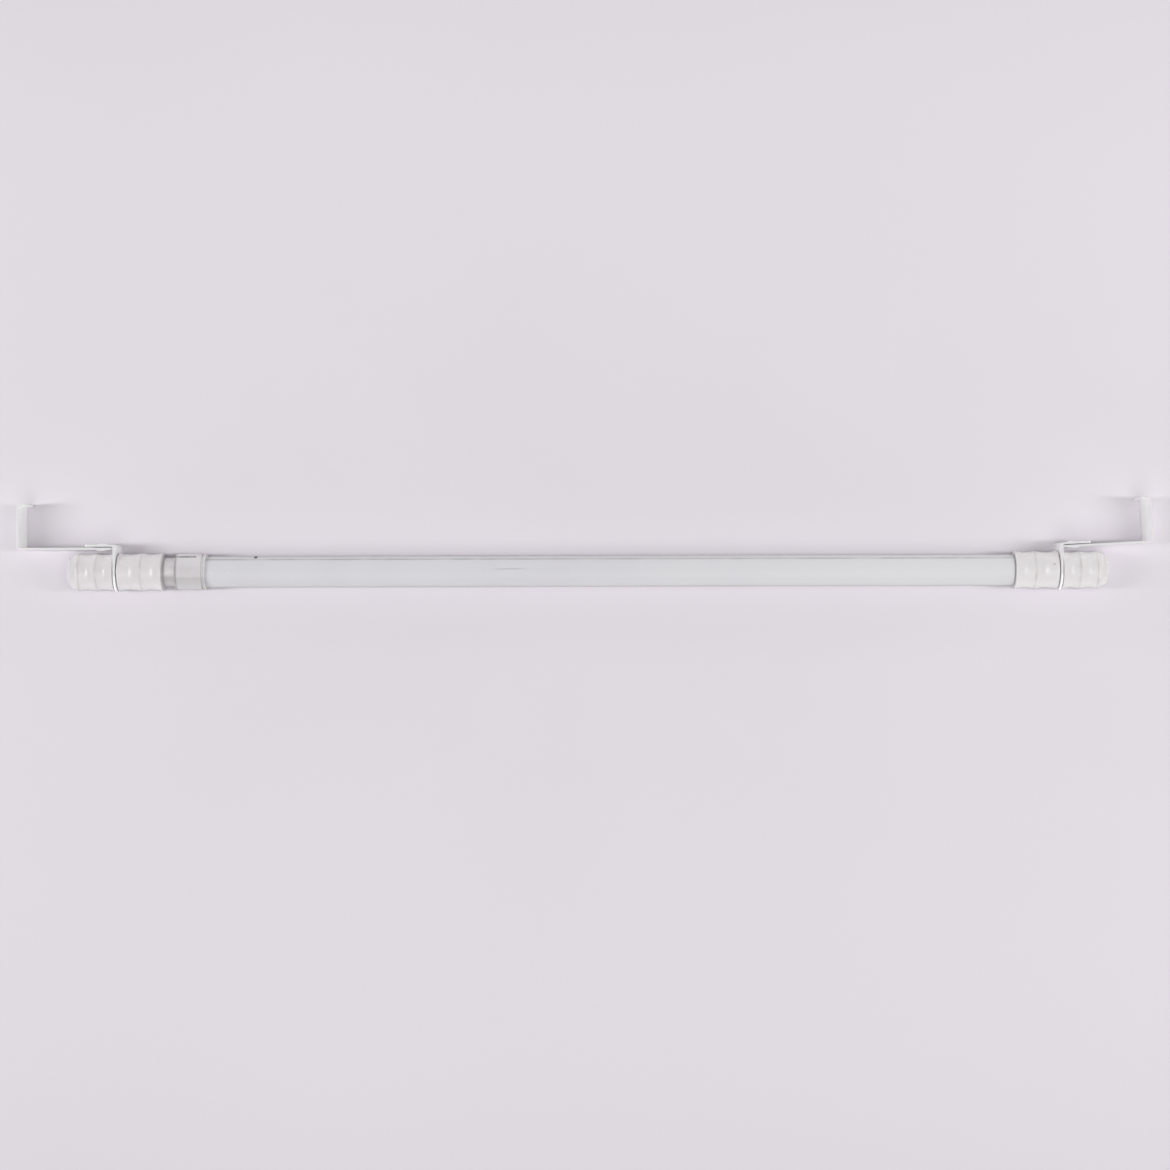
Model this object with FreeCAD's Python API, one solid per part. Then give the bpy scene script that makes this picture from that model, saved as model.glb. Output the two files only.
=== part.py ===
# Telescopic spring tension rod with soft end caps and folded sash hooks.
# The rod's axis is X, with the middle of the rod at the origin. The hooks reach towards +Y and +Z is up.
# All sizes are in millimetres.
import FreeCAD
import Part
import math
import os

from FreeCAD import Vector

# Tubes
rod_length = 438.0  # end of one cap to end of the other
tube_diameter = 13.0
tube_wall = 0.4
inner_wall = 0.4
telescope_gap = 0.1  # radial, inner tube in outer tube
visible_inner = 6.0  # bare inner tube between the left cap and the collar
least_overlap = 50.0  # tube left inside tube when drawn right out

# Rolled seam of the outer tube
seam_angle = 51.0  # degrees from +Z towards +Y
seam_width = 0.35
seam_depth = 0.15

# Collar on the mouth of the outer tube
collar_wall = 1.0
collar_length = 13.0
collar_lip = 3.0  # length of the lip in front of the outer tube
collar_gap = 0.05  # radial, lip round the inner tube
collar_round = 0.6
collar_groove_width = 0.9
collar_groove_depth = 0.45
collar_rim_width = 1.1
slit_angle = 58.0  # degrees from +Z towards +Y
slit_length = 9.0
slit_width = 1.0

# End caps, measured from the middle of the ring plate
cap_wall = 1.5  # rubber over the outer tube at a ridge
cap_sleeve_reach = 19.0  # to the open end
cap_nose_reach = 20.3  # to the closed end
sleeve_ridge_at = 10.8
first_nose_ridge_at = 8.0
last_nose_ridge_at = 15.5
ridge_land = 0.6
scallop_depth = 0.5
nose_drop = 0.4  # radius lost from the last ridge to the nose
nose_round = 1.6
socket_depth = 16.5
seat_gap = 0.03  # radial, between pieces that are pushed together
waist_diameter = 12.0
waist_gap = 0.4  # between a waist wall and the ring plate

# Hooks of folded sheet
sheet = 0.9
strip_proud = 0.5  # strip beyond the cap's ridge, on each side
hook_swivel_gap = 0.1  # radial, ring plate round the waist
arm_gap = 1.3  # cap's ridge to the arm
left_arm_reach = 40.7  # middle of the ring plate to the leg's outer face
right_arm_reach = 38.2
hook_height = 19.25  # arm's inner face to the lip's outer face
lip_length = 3.8
lip_corner = 2.0
tab_length = 12.5  # from the ring plate's inner face
tab_corner = 1.5
layer_gap = 0.4  # between arm and tab, away from the rivet
bend_radius = 0.6  # inside of each fold
right_splay = 3.0  # degrees that the right hook is bent open
rivet_diameter = 3.0
rivet_head_diameter = 5.0
rivet_head_height = 0.6
rivet_tail_height = 0.4

# Spring in the inner tube
spring_travel = 25.0
spring_length = 70.0
spring_turns = 8
spring_wire = 1.0
spring_sides = 6  # flats round the wire, which is round on the real spring
spring_side_gap = 0.7  # radial, coil to inner tube
spring_end_gap = 0.1
stop_length = 10.0
stop_nose_length = 6.0
stop_nose_gap = 0.4  # radial, nose inside the coil

# Twist lock
lock_room = 35.0  # tip of the lock to the end of the outer tube
bush_length = 12.0
bush_flange = 2.0
shaft_diameter = 5.0
shaft_flat_at = 1.9  # axis to the flat that keys the shaft
shaft_gap = 0.08
piston_length = 6.0
piston_gap = 0.1  # radial, piston in inner tube
piston_clear = 0.2  # piston to bush at rest
thrust_flange = 2.0
thrust_clear = 0.6  # radial, thrust flange in outer tube
cam_length = 10.0
cam_end_gap = 0.2
cam_side_gap = 0.1  # radial, cam collar in outer tube
cam_slot_width = 1.2
journal_diameter = 6.0
journal_offset = 0.35
journal_gap = 0.4  # radial, room for the journal to swing in the cam collar
tip_diameter = 4.0
tip_length = 2.5
push_nut_sheet = 0.5
push_nut_diameter = 8.8
push_nut_slots = 4
push_nut_slot_width = 0.8

# Radii worked out from the sizes above
tube_radius = tube_diameter / 2
tube_bore_radius = tube_radius - tube_wall
inner_radius = tube_bore_radius - telescope_gap
inner_bore_radius = inner_radius - inner_wall
collar_radius = tube_radius + collar_wall
ridge_radius = tube_radius + cap_wall
waist_radius = waist_diameter / 2
waist_half = sheet / 2 + waist_gap
strip_width = 2 * (ridge_radius + strip_proud)
arm_inner_y = ridge_radius + arm_gap
arm_middle_y = arm_inner_y + sheet / 2
tab_middle_y = arm_middle_y + sheet + layer_gap
fold_radius = bend_radius + sheet / 2
spring_radius = inner_bore_radius - spring_side_gap - spring_wire / 2

# Places along the rod
plate_x = rod_length / 2 - cap_nose_reach
cap_open_x = plate_x - cap_sleeve_reach
tube_end_x = cap_open_x + socket_depth
collar_x = visible_inner - cap_open_x
mouth_x = collar_x + collar_lip
journal_length = cam_length + 2 * cam_end_gap
tip_x = tube_end_x - lock_room - tip_length
journal_x = tip_x - journal_length
thrust_x = journal_x - thrust_flange
inner_end_x = thrust_x - spring_travel - bush_flange
draw_out = inner_end_x - mouth_x - least_overlap
piston_x = inner_end_x - bush_length - piston_clear
spring_x = piston_x - piston_length - spring_end_gap - spring_length

X_AXIS = Vector(1, 0, 0)
LENGTH_TOLERANCE = 0.001


def rod(radius, start, length, y=0.0):
    """A round bar along X from start."""
    return Part.makeCylinder(radius, length, Vector(start, y, 0), X_AXIS)


def tube(radius, bore_radius, start, length):
    """A round tube along X from start."""
    return rod(radius, start, length).cut(rod(bore_radius, start, length))


def box(low, high):
    """A box between two corners."""
    size = high - low
    return Part.makeBox(size.x, size.y, size.z, low)


def line(start, end):
    """A straight edge in the XY plane between two (x, y) points."""
    return Part.LineSegment(Vector(*start), Vector(*end)).toShape()


def arc(start, middle, end):
    """An arc edge in the XY plane through three (x, y) points."""
    return Part.Arc(Vector(*start), Vector(*middle), Vector(*end)).toShape()


def turned(edges):
    """Revolve a closed outline in the XY plane about the X axis."""
    face = Part.Face(Part.Wire(edges))
    return face.revolve(Vector(), X_AXIS, 360)


def turned_about_axis(shape, angle):
    """Turn a shape about the rod's axis, from +Z towards +Y."""
    shape.rotate(Vector(), X_AXIS, -angle)
    return shape


def mirrored(shape):
    """The left-hand copy of a right-hand piece."""
    return shape.mirror(Vector(), X_AXIS)


def rounded_path(points, radius):
    """Straight runs through the points, joined by tangent arcs of one radius."""
    edges = []
    start = points[0]
    for before, corner, after in zip(points, points[1:], points[2:]):
        into = (corner - before).normalize()
        out = (after - corner).normalize()
        half_turn = into.getAngle(out) / 2
        setback = radius * math.tan(half_turn)
        arc_start = corner - into * setback
        arc_end = corner + out * setback
        inward = (out - into).normalize()
        arc_middle = corner + inward * (radius / math.cos(half_turn) - radius)
        edges.append(Part.LineSegment(start, arc_start).toShape())
        edges.append(Part.Arc(arc_start, arc_middle, arc_end).toShape())
        start = arc_end
    edges.append(Part.LineSegment(start, points[-1]).toShape())
    return Part.Wire(edges)


def folded_strip(points):
    """A strip of sheet folded along the middle line given by the points, with its width along Z."""
    along = (points[1] - points[0]).normalize()
    across = Vector(-along.y, along.x, 0) * (sheet / 2)
    side = Vector(0, 0, strip_width / 2)
    start = points[0]
    corners = [start - across - side, start + across - side, start + across + side, start - across + side]
    section = Part.makePolygon(corners + corners[:1])
    return rounded_path(points, fold_radius).makePipeShell([section], True, False)


def round_end_corners(strip, end, along, radius):
    """Round the two outline corners at the end of a strip."""
    across = Vector(-along.y, along.x, 0)
    corners = []
    for edge in strip.Edges:
        middle = edge.CenterOfMass - end
        at_end = abs(middle.dot(along)) < LENGTH_TOLERANCE and abs(middle.dot(across)) < LENGTH_TOLERANCE
        at_side = abs(abs(middle.z) - strip_width / 2) < LENGTH_TOLERANCE
        if at_end and at_side:
            corners.append(edge)
    return strip.makeFillet(radius, corners)


def outer_tube():
    """Painted tube with a rolled seam, from the collar's seat to the bottom of the right cap."""
    length = tube_end_x - mouth_x
    shell = tube(tube_radius, tube_bore_radius, mouth_x, length)
    low = Vector(mouth_x, -seam_width / 2, tube_radius - seam_depth)
    high = Vector(tube_end_x, seam_width / 2, tube_radius + seam_depth)
    return shell.cut(turned_about_axis(box(low, high), seam_angle))


def inner_tube():
    """Bare tube that carries the left cap and slides in the outer tube."""
    return tube(inner_radius, inner_bore_radius, -tube_end_x, inner_end_x + tube_end_x)


def mouth_collar():
    """Split collar that seats over the outer tube's mouth and guides the inner tube."""
    end_x = collar_x + collar_length
    rim_x = end_x - collar_rim_width
    groove_x = rim_x - collar_groove_width
    bore = inner_radius + collar_gap
    seat = tube_radius + seat_gap
    groove_radius = collar_radius - collar_groove_depth
    bend = collar_round * (1 - math.sqrt(0.5))
    edges = [
        line((collar_x, bore), (collar_x, collar_radius - collar_round)),
        arc(
            (collar_x, collar_radius - collar_round),
            (collar_x + bend, collar_radius - bend),
            (collar_x + collar_round, collar_radius),
        ),
        line((collar_x + collar_round, collar_radius), (groove_x, collar_radius)),
        line((groove_x, collar_radius), ((groove_x + rim_x) / 2, groove_radius)),
        line(((groove_x + rim_x) / 2, groove_radius), (rim_x, collar_radius)),
        line((rim_x, collar_radius), (end_x, collar_radius)),
        line((end_x, collar_radius), (end_x, seat)),
        line((end_x, seat), (mouth_x, seat)),
        line((mouth_x, seat), (mouth_x, bore)),
        line((mouth_x, bore), (collar_x, bore)),
    ]
    low = Vector(collar_x, -slit_width / 2, 0)
    high = Vector(collar_x + slit_length, slit_width / 2, collar_radius + collar_wall)
    return turned(edges).cut(turned_about_axis(box(low, high), slit_angle))


def scallop(start_x, end_x):
    """The shallow hollow between two ridges, as one arc."""
    bottom = ((start_x + end_x) / 2, ridge_radius - scallop_depth)
    return arc((start_x, ridge_radius), bottom, (end_x, ridge_radius))


def end_cap(socket_radius):
    """Right-hand soft cap about its ring plate, with the nose towards +X."""
    half_land = ridge_land / 2
    open_x = -cap_sleeve_reach
    socket_x = open_x + socket_depth
    sleeve_scallops = [
        (open_x + ridge_land, -sleeve_ridge_at - half_land),
        (-sleeve_ridge_at + half_land, -waist_half - ridge_land),
    ]
    nose_scallops = [
        (waist_half + ridge_land, first_nose_ridge_at - half_land),
        (first_nose_ridge_at + half_land, last_nose_ridge_at - half_land),
    ]
    edges = [line((open_x, socket_radius), (open_x, ridge_radius))]
    reached = (open_x, ridge_radius)
    for start_x, end_x in sleeve_scallops:
        edges.append(line(reached, (start_x, ridge_radius)))
        edges.append(scallop(start_x, end_x))
        reached = (end_x, ridge_radius)
    waist = [
        (-waist_half, ridge_radius),
        (-waist_half, waist_radius),
        (waist_half, waist_radius),
        (waist_half, ridge_radius),
    ]
    for point in waist:
        edges.append(line(reached, point))
        reached = point
    for start_x, end_x in nose_scallops:
        edges.append(line(reached, (start_x, ridge_radius)))
        edges.append(scallop(start_x, end_x))
        reached = (end_x, ridge_radius)
    nose_radius = ridge_radius - nose_drop
    bend = nose_round * (1 - math.sqrt(0.5))
    round_start = (cap_nose_reach - nose_round, nose_radius)
    nose = [
        (last_nose_ridge_at + half_land, ridge_radius),
        (last_nose_ridge_at + half_land + nose_drop, nose_radius),
        round_start,
    ]
    for point in nose:
        edges.append(line(reached, point))
        reached = point
    round_end = (cap_nose_reach, nose_radius - nose_round)
    edges.append(arc(round_start, (cap_nose_reach - bend, nose_radius - bend), round_end))
    edges.append(line(round_end, (cap_nose_reach, 0)))
    edges.append(line((cap_nose_reach, 0), (socket_x, 0)))
    edges.append(line((socket_x, 0), (socket_x, socket_radius)))
    edges.append(line((socket_x, socket_radius), (open_x, socket_radius)))
    return turned(edges)


def arm_direction(splay):
    """Unit vector along a hook's arm, away from the rod."""
    angle = math.radians(splay)
    return Vector(math.cos(angle), math.sin(angle), 0)


def rivet_place(splay):
    """Middle of the rivet on the arm's middle line, half way along the tab."""
    return Vector(0, arm_middle_y, 0) + arm_direction(splay) * (tab_length / 2)


def rivet_bar(radius, low, high, splay):
    """A round bar through the arm and tab, between two heights from the arm's middle."""
    along = arm_direction(splay)
    up = Vector(-along.y, along.x, 0)
    return Part.makeCylinder(radius, high - low, rivet_place(splay) + up * low, up)


def rivet_hole(splay):
    """The cutter for the rivet's hole."""
    reach = 2 * (sheet + layer_gap)
    return rivet_bar(rivet_diameter / 2 + seat_gap, -reach, reach, splay)


def ring_plate(splay):
    """Right-hand plate round the cap's waist, with a tab folded over the hook's arm."""
    along = arm_direction(splay)
    tab_root = Vector(0, tab_middle_y, 0)
    tab_end = tab_root + along * (tab_length - sheet / 2)
    strip = folded_strip([Vector(), tab_root, tab_end])
    strip = round_end_corners(strip, tab_end, along, tab_corner)
    plate = strip.fuse(rod(strip_width / 2, -sheet / 2, sheet)).removeSplitter()
    hole = rod(waist_radius + hook_swivel_gap, -sheet, 2 * sheet)
    return plate.cut(hole).cut(rivet_hole(splay))


def hook_strap(splay, reach):
    """Right-hand strap of arm, leg and lip, which grips the edge of a sash."""
    along = arm_direction(splay)
    up = Vector(-along.y, along.x, 0)
    arm_start = Vector(0, arm_middle_y, 0) + along * (sheet / 2 + bend_radius)
    leg_root = Vector(0, arm_middle_y, 0) + along * (reach - sheet / 2)
    lip_root = leg_root + up * (hook_height - sheet)
    lip_end = lip_root - along * (lip_length - sheet / 2)
    strip = folded_strip([arm_start, leg_root, lip_root, lip_end])
    strip = round_end_corners(strip, lip_end, along, lip_corner)
    return strip.cut(rivet_hole(splay))


def rivet(splay):
    """Low rivet through the arm and the tab."""
    half = sheet / 2
    head_at = half + layer_gap + sheet
    shank = rivet_bar(rivet_diameter / 2, -half, head_at, splay)
    head = rivet_bar(rivet_head_diameter / 2, head_at, head_at + rivet_head_height, splay)
    tail = rivet_bar(rivet_head_diameter / 2, -half - rivet_tail_height, -half, splay)
    return shank.fuse([head, tail]).removeSplitter()


def spring():
    """Open coil between the spring stop and the piston."""
    height = spring_length - spring_wire
    pitch = height / spring_turns
    helix = Part.makeHelix(pitch, height, spring_radius)
    corners = []
    for index in range(spring_sides):
        angle = 2 * math.pi * (index + 0.5) / spring_sides
        outward = Vector(math.cos(angle), 0, math.sin(angle))
        corners.append(Vector(spring_radius, 0, 0) + outward * (spring_wire / 2))
    section = Part.makePolygon(corners + corners[:1])
    coil = Part.Wire(helix).makePipeShell([section], True, True)
    coil.rotate(Vector(), Vector(0, 1, 0), 90)
    coil.translate(Vector(spring_x + spring_wire / 2, 0, 0))
    return coil


def spring_stop():
    """Plug fixed in the inner tube, with a nose that centres the spring."""
    end_x = spring_x - spring_end_gap
    nose_radius = spring_radius - spring_wire / 2 - stop_nose_gap
    plug = rod(inner_bore_radius - seat_gap, end_x - stop_length, stop_length)
    return plug.fuse(rod(nose_radius, end_x, stop_nose_length)).removeSplitter()


def keyed_bar(radius, flat_at, start, length):
    """A round bar along X with one flat, facing +Z."""
    bar = rod(radius, start, length)
    low = Vector(start, -radius, flat_at)
    return bar.cut(box(low, Vector(start + length, radius, radius)))


def guide_bush():
    """Flanged bush in the inner tube's end, with a keyed bore for the shaft."""
    start = inner_end_x - bush_length
    body = rod(inner_bore_radius - seat_gap, start, bush_length)
    flange = rod(inner_radius, inner_end_x, bush_flange)
    whole = body.fuse(flange).removeSplitter()
    bore_radius = shaft_diameter / 2 + shaft_gap
    return whole.cut(keyed_bar(bore_radius, shaft_flat_at + shaft_gap, start, bush_length + bush_flange))


def lock_spindle():
    """Piston, keyed shaft, thrust flange and eccentric journal in one."""
    pieces = [
        keyed_bar(shaft_diameter / 2, shaft_flat_at, piston_x, thrust_x - piston_x),
        rod(tube_bore_radius - thrust_clear, thrust_x, thrust_flange),
        rod(journal_diameter / 2, journal_x, journal_length, journal_offset),
        rod(tip_diameter / 2, tip_x, tip_length, journal_offset),
    ]
    piston = rod(inner_bore_radius - piston_gap, piston_x - piston_length, piston_length)
    return piston.fuse(pieces).removeSplitter()


def cam_collar():
    """Split ring whose eccentric bore lets the journal wedge it against the outer tube."""
    start = journal_x + cam_end_gap
    ring = rod(tube_bore_radius - cam_side_gap, start, cam_length)
    bore_radius = journal_diameter / 2 + journal_gap
    bore = rod(bore_radius, start, cam_length, journal_offset)
    low = Vector(start, 0, -cam_slot_width / 2)
    slot = box(low, Vector(start + cam_length, tube_radius, cam_slot_width / 2))
    return ring.cut(bore).cut(slot)


def push_nut():
    """Slotted retainer pressed on the spindle's tip."""
    bore_radius = tip_diameter / 2 + seat_gap
    start = tip_x + cam_end_gap
    centre = Vector(start, journal_offset, 0)
    disc = rod(push_nut_diameter / 2, start, push_nut_sheet, journal_offset)
    disc = disc.cut(rod(bore_radius, start, push_nut_sheet, journal_offset))
    slot_reach = (push_nut_diameter / 2 + bore_radius) / 2
    for index in range(push_nut_slots):
        slot = Part.makeBox(push_nut_sheet, slot_reach, push_nut_slot_width)
        slot.translate(centre - Vector(0, 0, push_nut_slot_width / 2))
        slot.rotate(centre, X_AXIS, index * 360 / push_nut_slots)
        disc = disc.cut(slot)
    return disc


def hook_pieces(splay, reach):
    """The three pieces of one right-hand hook, about its ring plate."""
    return {
        "ring_plate": ring_plate(splay),
        "hook_strap": hook_strap(splay, reach),
        "rivet": rivet(splay),
    }


def all_pieces():
    """Every piece of the rod in place, by name."""
    pieces = {
        "outer_tube": outer_tube(),
        "inner_tube": inner_tube(),
        "mouth_collar": mouth_collar(),
        "spring": spring(),
        "spring_stop": spring_stop(),
        "guide_bush": guide_bush(),
        "lock_spindle": lock_spindle(),
        "cam_collar": cam_collar(),
        "push_nut": push_nut(),
    }
    right = {"end_cap": end_cap(tube_radius + seat_gap), **hook_pieces(right_splay, right_arm_reach)}
    left = {"end_cap": end_cap(inner_radius + seat_gap), **hook_pieces(0, left_arm_reach)}
    for name, shape in right.items():
        shape.translate(X_AXIS * plate_x)
        pieces["right_" + name] = shape
    for name, shape in left.items():
        shape.translate(X_AXIS * plate_x)
        pieces["left_" + name] = mirrored(shape)
    return pieces


os.makedirs("parts", exist_ok=True)
for node, piece in all_pieces().items():
    piece.exportStep("parts/" + node + ".step")
    print(node, "valid" if piece.isValid() else "INVALID", len(piece.Solids), round(piece.Volume, 1))
print("the inner tube draws out by", round(draw_out, 1))
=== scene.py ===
import logging
import math
from dataclasses import dataclass
from enum import Enum
from typing import Any, Callable

import bmesh
import bpy
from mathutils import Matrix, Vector


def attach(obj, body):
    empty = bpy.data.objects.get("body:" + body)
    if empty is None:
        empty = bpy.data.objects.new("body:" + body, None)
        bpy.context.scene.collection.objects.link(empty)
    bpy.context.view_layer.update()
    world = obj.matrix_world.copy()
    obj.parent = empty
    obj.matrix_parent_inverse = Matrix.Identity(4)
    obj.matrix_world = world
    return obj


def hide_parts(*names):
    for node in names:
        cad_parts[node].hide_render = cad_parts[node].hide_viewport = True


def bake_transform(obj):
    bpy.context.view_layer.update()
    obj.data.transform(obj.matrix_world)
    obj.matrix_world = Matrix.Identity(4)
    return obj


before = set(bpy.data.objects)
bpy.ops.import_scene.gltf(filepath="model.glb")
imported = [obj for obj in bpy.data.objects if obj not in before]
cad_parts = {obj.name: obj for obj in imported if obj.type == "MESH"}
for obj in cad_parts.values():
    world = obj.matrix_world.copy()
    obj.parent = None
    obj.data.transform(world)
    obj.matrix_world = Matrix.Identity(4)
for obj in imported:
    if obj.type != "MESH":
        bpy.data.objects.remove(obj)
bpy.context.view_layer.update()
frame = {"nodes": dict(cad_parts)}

MM = 0.001
PLATE_X = 198.7 * MM  # from the middle of the rod to the middle of each ring plate
MIX_A, MIX_B, MIX_RESULT = 6, 7, 2  # colour sockets of a mix node
LOG = logging.getLogger("tension_rod")

Colour = tuple[float, float, float]
Triple = tuple[float, float, float]
Place = tuple[float, float]
Span = tuple[float, float]
Mark = tuple[Place, Place, float]
Outline = list[Place]
Socket = bpy.types.NodeSocket


class Side(Enum):
    """Which end of the rod a piece belongs to; the value is the sign of its X."""

    LEFT = -1
    RIGHT = 1

    @property
    def word(self) -> str:
        """The side as it stands in node names."""
        return self.name.lower()

    @property
    def body(self) -> str:
        """The body that carries the end cap of this side."""
        return "inner" if self is Side.LEFT else "outer"

    @property
    def hook_body(self) -> str:
        """The body that carries the hook of this side."""
        return f"{self.word}_hook"


class Bench:
    """Modelling moves that every piece is made with."""

    ROUND_STEPS = 96
    SHARP_ANGLE = 35.0
    SAME_PLACE = 1e-6

    @staticmethod
    def clear() -> None:
        """Leave nothing selected."""
        bpy.ops.object.select_all(action="DESELECT")

    @staticmethod
    def take(piece: bpy.types.Object) -> None:
        """Select one piece and make it active.

        Args:
            piece: The object to work on.
        """
        Bench.clear()
        piece.select_set(True)
        bpy.context.view_layer.objects.active = piece

    @staticmethod
    def settle(name: str) -> bpy.types.Object:
        """Name the active object and move its place into its mesh.

        Args:
            name: The name of the piece.

        Returns:
            The object, at the origin, unturned and unscaled.
        """
        piece = bpy.context.object
        piece.name = name
        piece.data.name = name
        bpy.ops.object.transform_apply(location=True, rotation=True, scale=True)
        return piece

    @staticmethod
    def pick(piece: bpy.types.Object, test: Callable[[Vector], bool]) -> None:
        """Select, in edit mode, the vertices whose place passes a test, and the edges between them.

        Args:
            piece: The object in edit mode.
            test: Says whether a place is wanted.
        """
        bpy.ops.mesh.select_mode(type="VERT")
        bpy.ops.mesh.select_all(action="DESELECT")
        mesh = bmesh.from_edit_mesh(piece.data)
        for vertex in mesh.verts:
            vertex.select = test(vertex.co)
        mesh.select_flush(True)
        bmesh.update_edit_mesh(piece.data)

    @staticmethod
    def apply(piece: bpy.types.Object, kind: str, **settings: Any) -> None:
        """Add a modifier and apply it.

        Args:
            piece: The object to change.
            kind: The modifier's type.
            settings: The modifier's own settings.
        """
        Bench.take(piece)
        modifier = piece.modifiers.new(kind.lower(), kind)
        for key, value in settings.items():
            setattr(modifier, key, value)
        bpy.ops.object.modifier_apply(modifier=modifier.name)

    @staticmethod
    def soften(piece: bpy.types.Object, width: float) -> None:
        """Break the sharp edges of a piece and shade it smooth.

        Args:
            piece: The object to finish.
            width: Width of the broken edge, in metres.
        """
        limit = math.radians(Bench.SHARP_ANGLE)
        Bench.apply(
            piece, "BEVEL", width=width, segments=2, limit_method="ANGLE", angle_limit=limit
        )
        Bench.shade(piece, Bench.SHARP_ANGLE)

    @staticmethod
    def shade(piece: bpy.types.Object, angle: float) -> None:
        """Shade a piece smooth up to an angle between faces.

        Args:
            piece: The object to shade.
            angle: The angle, in degrees.
        """
        Bench.take(piece)
        bpy.ops.object.shade_smooth_by_angle(angle=math.radians(angle))

    @staticmethod
    def quarter(steps: int) -> list[float]:
        """The angles of a quarter turn in equal steps, in radians."""
        return [math.radians(90 * step / steps) for step in range(steps + 1)]

    @staticmethod
    def close() -> None:
        """Turn every face of the piece in edit mode outwards and leave edit mode."""
        bpy.ops.mesh.select_all(action="SELECT")
        bpy.ops.mesh.normals_make_consistent(inside=False)
        bpy.ops.object.mode_set(mode="OBJECT")

    @staticmethod
    def turned(name: str, outline: Outline) -> bpy.types.Object:
        """Draw a ring out along the X axis through the stations of an outline.

        Args:
            name: The name of the piece.
            outline: Stations (x, radius) in metres.

        Returns:
            The turned piece.
        """
        Bench.clear()
        x, radius = outline[0]
        bpy.ops.mesh.primitive_circle_add(
            vertices=Bench.ROUND_STEPS,
            radius=radius,
            location=(x, 0, 0),
            rotation=(0, math.pi / 2, 0),
        )
        piece = Bench.settle(name)
        bpy.ops.object.mode_set(mode="EDIT")
        bpy.ops.mesh.select_mode(type="VERT")
        bpy.ops.mesh.select_all(action="SELECT")
        for next_x, next_radius in outline[1:]:
            bpy.ops.mesh.extrude_region_move(TRANSFORM_OT_translate={"value": (next_x - x, 0, 0)})
            ratio = next_radius / radius
            bpy.ops.transform.resize(value=(1, ratio, ratio), center_override=(next_x, 0, 0))
            x, radius = next_x, next_radius
        bpy.ops.mesh.select_all(action="SELECT")
        bpy.ops.mesh.remove_doubles(threshold=Bench.SAME_PLACE)
        Bench.close()
        return piece

    @staticmethod
    def cut(piece: bpy.types.Object, cutter: bpy.types.Object) -> None:
        """Cut one piece out of another and throw the cutter away.

        Args:
            piece: The object that is cut.
            cutter: The object whose space is taken out.
        """
        Bench.apply(piece, "BOOLEAN", operation="DIFFERENCE", solver="EXACT", object=cutter)
        bpy.data.objects.remove(cutter)


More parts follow.
